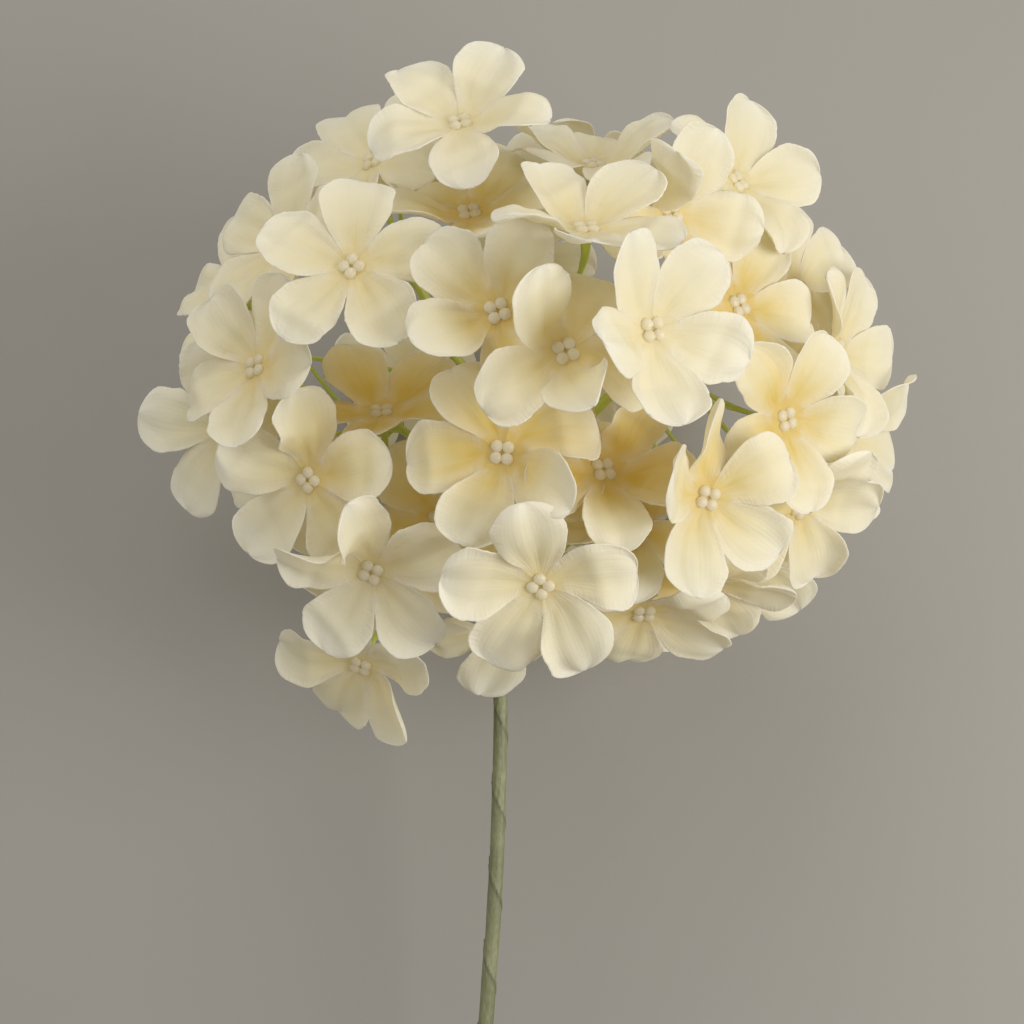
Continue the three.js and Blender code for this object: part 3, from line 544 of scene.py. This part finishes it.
def bloomMesh(poses, random):
    # one welded sheet: five blades on a shared middle, with what varies from petal to petal
    look = petalLook
    count = bloomCut["petals"]
    shares = np.concatenate([
        np.linspace(0, slitShare, look["hubRows"], endpoint=False),
        slitShare + (1 - slitShare) * (
            1 - (1 - np.linspace(0, 1, look["bladeRows"])) ** look["tipCrowding"]),
    ])
    crowding = look["edgeCrowding"]
    sides = np.sin(np.linspace(-1, 1, look["columns"]) * crowding) / math.sin(crowding)
    share, side = (g.T for g in np.meshgrid(shares, sides))
    half = halfWidth(share)
    spread = half / bloomCut["halfWidth"]      # falls to nothing at the tip, where a row closes to a point
    grids = []
    extras = []
    bloomTone = random.uniform(0, 1)
    for index in range(count):
        tone = look["bloomTone"] * bloomTone + (1 - look["bloomTone"]) * random.uniform(0, 1)
        proud = petalRelief(share, side, spread, random)
        widen = petalOutline(share, side, half, spread, random)
        curl = math.radians(look["tipCurl"] + look["curlSpread"] * random.uniform(-1, 1))
        grids.append(petalSurface(petalStep * index, poses[index], share, side, widen, curl, proud))
        fromEdge = np.minimum((1 - np.abs(side)) * half, (1 - share) * bloomCut["length"])
        fromEdge = np.where(share < slitShare, 3.0, fromEdge)      # the joined middle has no cut edge
        extras.append((share, side, np.full(share.shape, tone), fromEdge))
    joinMiddle(grids, side)
    points = np.concatenate([g.reshape(-1, 3) for g in grids])
    values = np.concatenate([np.stack(e, axis=-1).reshape(-1, 4) for e in extras])
    rows, columns = share.shape
    faces = []
    for index in range(count):
        first = index * rows * columns
        for r in range(rows - 1):
            for c in range(columns - 1):
                a = first + r * columns + c
                faces.append((a, a + columns, a + columns + 1, a + 1))
    return points, values, faces


def joinMiddle(grids, side):
    # neighbouring petals share the cut lines of the middle, up to the slits
    hub = petalLook["hubRows"] + 1
    for index, grid in enumerate(grids):
        other = grids[(index + 1) % len(grids)]
        mean = (grid[:hub, -1] + other[:hub, 0]) / 2
        for half, column, toward in ((grid, -1, side), (other, 0, -side)):
            shift = mean - half[:hub, column]
            half[:hub] += shift[:, None] * np.clip(toward[:hub], 0, 1)[:, :, None] ** 2
            fading = np.exp(-np.arange(1, len(half) - hub + 1) / petalLook["joinFade"])
            half[hub:] += shift[-1] * (fading[:, None] * np.clip(toward[hub:], 0, 1) ** 2)[:, :, None]


def weld(points, values, faces, reach=1e-3):
    # joins points at the same place, and drops the faces that this closes up
    keys = np.round(points / reach).astype(np.int64)
    first, joined = np.unique(keys, axis=0, return_index=True, return_inverse=True)[1:]
    joined = joined.ravel()
    kept = []
    for face in faces:
        corners = []
        for i in face:
            j = int(joined[i])
            if j not in corners:
                corners.append(j)
        if len(corners) > 2:
            kept.append(corners)
    return points[first], values[first], kept


def makeBloom(name, material):
    random = np.random.RandomState(petalLook["seed"] + int(name[-2:]))
    solid = nodePoints(name)
    center, axis, peaks = readBloomPlace(solid)
    axes, local = localFrame(solid, center, axis, peaks)
    read = [readPetalPose(local, petalStep * k) for k in range(bloomCut["petals"])]
    shape, values, faces = weld(*bloomMesh([pose for pose, misfit in read], random))
    shape = shape @ axes + center
    # cloth that reaches the floor lies flat on it
    shape[:, 2] = np.maximum(shape[:, 2], petalLook["thickness"])
    piece = meshPiece("petals_" + name[-2:], shape, faces, material)
    saveAttribute(piece, "petal", "FLOAT_VECTOR", "vector", values[:, :3])
    saveAttribute(piece, "fromEdge", "FLOAT", "value", values[:, 3])
    # how deep in the head each point lies, for the painted golden shade
    saveAttribute(piece, "depth", "FLOAT", "value", depthInHead(shape))
    thick = piece.modifiers.new("thickness", "SOLIDIFY")
    thick.thickness = petalLook["thickness"] * mm
    thick.offset = 0
    attach(piece, "petal_cloth", name)
    return center, axes, max(misfit for pose, misfit in read)


def saveAttribute(piece, name, kind, field, values):
    attribute = piece.data.attributes.new(name, kind, "POINT")
    attribute.data.foreach_set(field, np.ravel(values))


def measureHead():
    # the middle and half sizes of the head, from its blooms' solids
    points = np.concatenate([nodePoints(n) for n in nodes if n.startswith("bloom_")])
    low, high = points.min(axis=0), points.max(axis=0)
    return (low + high) / 2, (high - low) / 2


headMiddle, headHalf = measureHead()


def depthInHead(points):
    # nothing at the outside of the head, one deep inside it
    reach = np.linalg.norm((points - headMiddle) / headHalf, axis=1)
    return 1 - smoothStep(reach, *petalLook["deepAt"])


def petalMaterial():
    look = petalLook
    material, tree, shader = newMaterial("petalCloth")
    petal = readAttribute(tree, "petal", "Vector")
    share, _, tone = addNode(tree, "ShaderNodeSeparateXYZ", None, Vector=petal).outputs
    fromEdge = readAttribute(tree, "fromEdge")
    # golden at the middle and ivory at the tip, in streaks that follow the petal
    streaks = noise(tree, stretched(tree, petal, look["streakScale"]), 1.0, 1.0)
    moved = mathNode(tree, "MULTIPLY_ADD", share, look["towardsTip"], look["middleColour"])
    moved = mathNode(tree, "MULTIPLY_ADD", streaks, look["streaks"], moved)
    moved = mathNode(tree, "MULTIPLY_ADD", tone, -look["tones"], moved)
    # painted golden shade deep in the head, where light comes only through other petals
    moved = mathNode(tree, "MULTIPLY_ADD", readAttribute(tree, "depth"), -look["deeper"], moved)
    colour = colourRamp(tree, moved, look["colours"], "EASE")
    # a painted highlight along the border, where curled edges catch the light, and a pale line at the cut
    (paintedRimWidth, paintedRimHighlight), (cutWidth, cutLine) = look["paintedRimHighlight"], look["cutLine"]
    pale = mathNode(tree, "MULTIPLY", nearEdge(tree, fromEdge, paintedRimWidth), paintedRimHighlight)
    pale = mathNode(tree, "MULTIPLY_ADD", nearEdge(tree, fromEdge, cutWidth), cutLine, pale)
    cloth = mixColour(tree, pale, colour, look["edgeColour"])
    tree.links.new(cloth, shader.inputs["Base Color"])
    shader.inputs["Roughness"].default_value = look["roughness"]
    shader.inputs["Sheen Weight"].default_value = look["sheen"]
    shader.inputs["Sheen Roughness"].default_value = look["sheenRoughness"]
    shader.inputs["Specular IOR Level"].default_value = look["specular"]
    # faint veins, puckers that run in from the cut edge, and the weave of the cloth
    puckers = noise(tree, stretched(tree, petal, look["puckerScale"]), 1.0, 1.0)
    puckers = mathNode(tree, "MULTIPLY", puckers, nearEdge(tree, fromEdge, look["puckerWidth"]))
    veins = noise(tree, stretched(tree, petal, look["veinScale"]), 1.0, 1.0)
    weave = noise(tree, objectPlace(tree), look["weaveScale"], 0.0)
    height = mathNode(tree, "MULTIPLY", weave, look["weave"])
    height = mathNode(tree, "MULTIPLY_ADD", veins, look["veins"], height)
    height = mathNode(tree, "MULTIPLY_ADD", puckers, look["puckers"], height)
    normal = addBump(tree, shader, height, *look["bump"])
    glow = letLightThrough(tree, shader, look["glow"], mixColour(
        tree, look["glowTint"], cloth, look["glowColour"]))
    tree.links.new(normal, glow.inputs["Normal"])
    return material


# Beads

beadLook = {
    "radius": 1.3,
    "spread": 1.72,
    "height": 0.5,
    "squash": 0.66,
    "rounds": 3,         # each one after the first splits every triangle of a bead in four
    "colours": [(0.3, (0.91, 0.84, 0.60)), (0.7, (0.95, 0.92, 0.77))],
    "cloudScale": 400.0,
    "roughness": 0.22,
    "glow": 0.6,
}


def makeBeads(places, material):
    look = beadLook
    ballPoints, ballFaces = icoSphere(look["rounds"])
    bead = ballPoints * [1, 1, look["squash"]] * look["radius"]
    points, faces = [], []
    for center, axes in places:
        for k in range(bloomCut["beads"]):
            angle = 2 * math.pi / bloomCut["beads"] * k
            middle = [math.cos(angle) * look["spread"], math.sin(angle) * look["spread"], look["height"]]
            faces += [[i + len(points) for i in f] for f in ballFaces]
            points += list((bead + middle) @ axes + center)
    piece = meshPiece("beads", points, faces, material)
    attach(piece, "bead_plastic")


def icoSphere(rounds):
    ball = bmesh.new()
    bmesh.ops.create_icosphere(ball, subdivisions=rounds, radius=1)
    points = np.array([v.co for v in ball.verts], float)
    faces = [[v.index for v in f.verts] for f in ball.faces]
    ball.free()
    return points, faces


def beadMaterial():
    look = beadLook
    material, tree, shader = newMaterial("beadPlastic")
    cloud = noise(tree, objectPlace(tree), look["cloudScale"], 2.0)
    colour = colourRamp(tree, cloud, look["colours"])
    tree.links.new(colour, shader.inputs["Base Color"])
    shader.inputs["Roughness"].default_value = look["roughness"]
    letLightThrough(tree, shader, look["glow"], colour)
    return material


# Sprays: moulded calyxes, pedicels and arms

sprayLook = {
    "smoothing": 2,
    "swell": 0.11,       # gives back what smoothing takes off
    "colours": [(0.3, (0.34, 0.42, 0.04)), (0.55, (0.47, 0.54, 0.07)), (0.75, (0.62, 0.66, 0.16))],
    "patchScale": 90.0,
    "roughness": 0.36,
    "grainScale": 1500.0,
    "bump": (0.25, 0.1),
}


def makeSpray(name, material):
    source = nodes[name].data
    points = np.array([v.co for v in source.vertices], float) / mm
    faces = [tuple(p.vertices) for p in source.polygons]
    shape, _, joinedFaces = weld(points, points, faces)
    piece = meshPiece("stalks_" + name[-1], shape, joinedFaces, material)
    smooth = piece.modifiers.new("smooth", "SUBSURF")
    smooth.levels = smooth.render_levels = sprayLook["smoothing"]
    swell = piece.modifiers.new("swell", "DISPLACE")
    swell.strength = sprayLook["swell"] * mm
    swell.mid_level = 0
    attach(piece, "stalk_plastic", name)


def stalkMaterial():
    material, tree, shader = newMaterial("stalkPlastic")
    look = sprayLook
    place = objectPlace(tree)
    colour = colourRamp(tree, noise(tree, place, look["patchScale"], 3.0), look["colours"])
    tree.links.new(colour, shader.inputs["Base Color"])
    shader.inputs["Roughness"].default_value = look["roughness"]
    addBump(tree, shader, noise(tree, place, look["grainScale"], 2.0), *look["bump"])
    return material


# Stem and its wire

stemLook = {
    "seed": 7,
    "topRadius": 1.6,
    "neckRadius": 1.8,
    "neckAt": 75,          # along the stem from its top
    "endRadius": 2.3,
    "wireRadius": 0.8,
    "wireSides": 20,
    "wireStep": 4.0,
    "wireShows": 0.3,      # how far the bare wire stands out of the cut end
    "sides": 40,
    "stepLength": 0.8,
    "tapePitch": 20,
    "tapeStep": 0.24,      # how far a turn of tape stands over the one before
    "lapWidth": 0.06,      # the share of a turn over which that step is taken
    "tapeSink": 0.6,       # the share of the step that is lost again over a turn
    "crinkle": 0.05,
    "topPast": 3,          # the stem starts this far above its wire
    "tapeColours": [(0.3, (0.085, 0.095, 0.035)), (0.5, (0.165, 0.175, 0.075)), (0.7, (0.30, 0.31, 0.165))],
    "lapShades": [
        # the tape is stretched paler at its lap, and painted shade makes a dark line under the lap's edge
        (0.0, (1.0, 1.0, 1.0)),
        (0.05, (0.45, 0.45, 0.40)),
        (0.13, (0.85, 0.85, 0.82)),
        (0.9, (1.0, 1.0, 0.95)),
    ],
    "fibreScale": 2600.0,
    "fibreStretch": (1.0, 0.12, 1.0),
    "patchScale": 60.0,
    "tapeRoughness": 0.5,
    "tapeBump": (0.6, 0.15),
    "wireColours": [(0.35, (0.28, 0.27, 0.26)), (0.7, (0.5, 0.5, 0.5))],
    "wireMarkScale": 1800.0,
    "wireRoughness": 0.42,
}


def wireRings():
    # the core's middle line, from the rings of points of the wire's solid
    points = nodePoints("stem_wire")
    along = np.array(flowerTurn() @ Vector((0, 1, 0)))
    order = np.argsort(-(points @ along))
    return points[order].reshape(-1, wireCorners, 3).mean(axis=1)


def smoothLine(points, step):
    # a Catmull-Rom line through the points, at even steps
    padded = np.concatenate([[2 * points[0] - points[1]], points, [2 * points[-1] - points[-2]]])
    line = []
    for i in range(len(points) - 1):
        a, b, c, d = padded[i:i + 4]
        for t in np.linspace(0, 1, 40, endpoint=False):
            line.append(0.5 * (2 * b + (c - a) * t + (2 * a - 5 * b + 4 * c - d) * t ** 2
                               + (3 * b - a - 3 * c + d) * t ** 3))
    line.append(points[-1])
    line = np.array(line)
    travelled = np.concatenate([[0], np.cumsum(np.linalg.norm(np.diff(line, axis=0), axis=1))])
    wanted = np.linspace(0, travelled[-1], int(travelled[-1] / step) + 2)
    return np.stack([np.interp(wanted, travelled, line[:, k]) for k in range(3)], axis=1), wanted


def tubeGrid(line, radii, sides):
    # rings of points round a line, with one radius for each ring or a grid of them
    heading = np.gradient(line, axis=0)
    heading /= np.linalg.norm(heading, axis=1, keepdims=True)
    aside = np.cross(heading, [0, 0, 1.0])
    aside /= np.linalg.norm(aside, axis=1, keepdims=True)
    third = np.cross(heading, aside)
    angles = np.arange(sides) * 2 * math.pi / sides
    ring = aside[:, None] * np.cos(angles)[None, :, None] + third[:, None] * np.sin(angles)[None, :, None]
    return line[:, None] + ring * radii.reshape(len(line), -1, 1)


def gridFaces(rows, sides):
    # the walls between rings, and a flat end at each side
    faces = [tuple(range(sides))[::-1], tuple((rows - 1) * sides + i for i in range(sides))]
    for r in range(rows - 1):
        for i in range(sides):
            a = r * sides + i
            b = r * sides + (i + 1) % sides
            faces.append((a, b, b + sides, a + sides))
    return faces


def makeStem(material, wireMaterial):
    look = stemLook
    rings = wireRings()
    upwards = (rings[0] - rings[1]) / np.linalg.norm(rings[0] - rings[1])
    stemTop = rings[0] + upwards * look["topPast"]
    line, travelled = smoothLine(np.concatenate([[stemTop], rings]), look["stepLength"])
    neck = np.clip(travelled / look["neckAt"], 0, 1)
    rest = np.clip((travelled - look["neckAt"]) / (travelled[-1] - look["neckAt"]), 0, 1)
    radius = look["topRadius"] + (look["neckRadius"] - look["topRadius"]) * neck
    radius = radius + (look["endRadius"] - look["neckRadius"]) * rest
    sides = look["sides"]
    angles = np.arange(sides) * 2 * math.pi / sides
    random = np.random.RandomState(look["seed"])
    turn = (travelled[:, None] / look["tapePitch"] + angles[None] / (2 * math.pi)) % 1.0
    tape = look["tapeStep"] * (1 - smoothStep(turn, 0.0, look["lapWidth"]))
    tape = tape - look["tapeStep"] * look["tapeSink"] * turn
    # wrinkles that wander round the stem, and a fine unevenness
    crinkle = look["crinkle"] * (np.sin(angles[None] * 9 + 2 * np.sin(travelled[:, None] * 0.35)) * 0.6
                                 + random.normal(0, 0.5, (len(line), sides)))
    outer = tubeGrid(line, radius[:, None] - look["tapeStep"] / 3 + tape + crinkle, sides)
    piece = meshPiece("wrappedStem", outer.reshape(-1, 3), gridFaces(len(line), sides), material)
    saveAttribute(piece, "turn", "FLOAT", "value", turn)
    attach(piece, "stem_tape", "stem")
    # the core shows as a cut end of bare wire
    wireLine = smoothLine(rings, look["wireStep"])[0]
    wireLine[-1] += (wireLine[-1] - wireLine[-2]) / look["wireStep"] * look["wireShows"]
    wire = tubeGrid(wireLine, np.full(len(wireLine), look["wireRadius"]), look["wireSides"])
    wireFaces = gridFaces(len(wireLine), look["wireSides"])
    core = meshPiece("coreWire", wire.reshape(-1, 3), wireFaces, wireMaterial)
    attach(core, "wire_steel", "stem_wire")


def tapeMaterial():
    look = stemLook
    material, tree, shader = newMaterial("stemTape")
    place = objectPlace(tree)
    fibres = noise(tree, stretched(tree, place, look["fibreStretch"]), look["fibreScale"], 4.0, 0.65)
    patches = noise(tree, place, look["patchScale"], 3.0)
    mixed = mathNode(tree, "MULTIPLY_ADD", fibres, 0.5, mathNode(tree, "MULTIPLY", patches, 0.5))
    colour = colourRamp(tree, mixed, look["tapeColours"])
    # paler where the tape is stretched at its lap, with painted shade in a dark line under the lap's edge
    lap = colourRamp(tree, readAttribute(tree, "turn"), look["lapShades"])
    tree.links.new(mixColour(tree, 1.0, colour, lap, "MULTIPLY"), shader.inputs["Base Color"])
    shader.inputs["Roughness"].default_value = look["tapeRoughness"]
    addBump(tree, shader, fibres, *look["tapeBump"])
    return material


def steelMaterial():
    material, tree, shader = newMaterial("coreSteel")
    marks = noise(tree, objectPlace(tree), stemLook["wireMarkScale"], 3.0)
    colour = colourRamp(tree, marks, stemLook["wireColours"])
    tree.links.new(colour, shader.inputs["Base Color"])
    shader.inputs["Metallic"].default_value = 1.0
    shader.inputs["Roughness"].default_value = stemLook["wireRoughness"]
    return material


# The whole flower

makeCamera()
makeLights()
makeFloor()
print("camera, lights and floor made")

petalCloth = petalMaterial()
bloomPlaces = []
misfits = {}
for name in sorted(n for n in nodes if n.startswith("bloom_")):
    center, axes, worst = makeBloom(name, petalCloth)
    bloomPlaces.append((center, axes))
    misfits[name] = worst
print("petals made:", len(bloomPlaces), "blooms, worst misfit", round(max(misfits.values()), 3), "mm",
      max(misfits, key=misfits.get))

makeBeads(bloomPlaces, beadMaterial())
print("beads made")

stalkPlastic = stalkMaterial()
for name in sorted(n for n in nodes if n.startswith("spray_")):
    makeSpray(name, stalkPlastic)
print("sprays made")

makeStem(tapeMaterial(), steelMaterial())
print("stem made")
